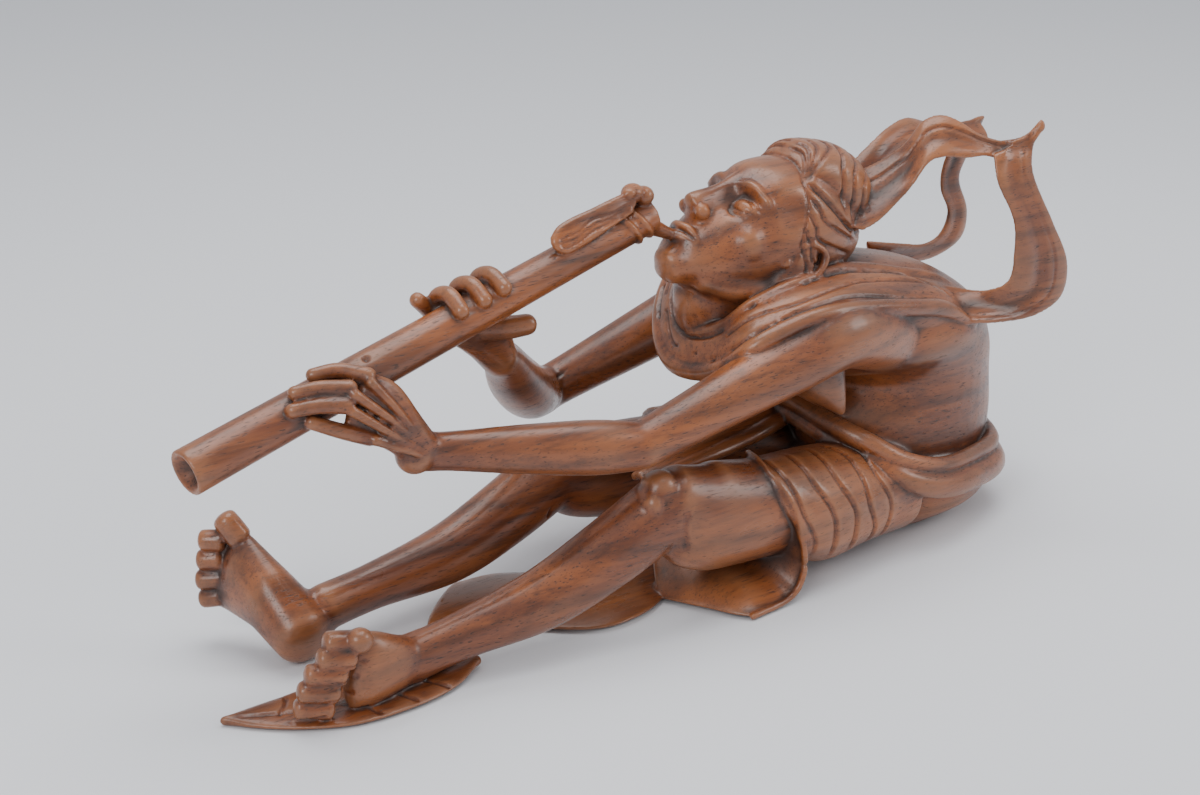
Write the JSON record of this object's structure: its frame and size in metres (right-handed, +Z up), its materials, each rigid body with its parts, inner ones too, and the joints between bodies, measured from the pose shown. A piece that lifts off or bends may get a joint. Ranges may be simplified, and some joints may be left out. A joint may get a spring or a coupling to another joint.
{
  "type": "carved wooden flute player figure",
  "caption": "Seated flute player carved from one block of dark hardwood, playing a long flute held out in front, with curling headcloth ends, a sash and a leaf under one foot.",
  "frame": {"origin": "middle of the bounding box, at the level of the ground the figure rests on", "axes": "+Z up, -X the way the player faces and the flute points, -Y the player's left side"},
  "size_m": [0.4838, 0.1503, 0.203],
  "materials": {
    "dark_hardwood": "waxed semi-gloss, reddish brown with dark pores and streaks"
  },
  "bodies": {
    "root": {"flute_player": "dark_hardwood"}
  },
  "joints": []
}
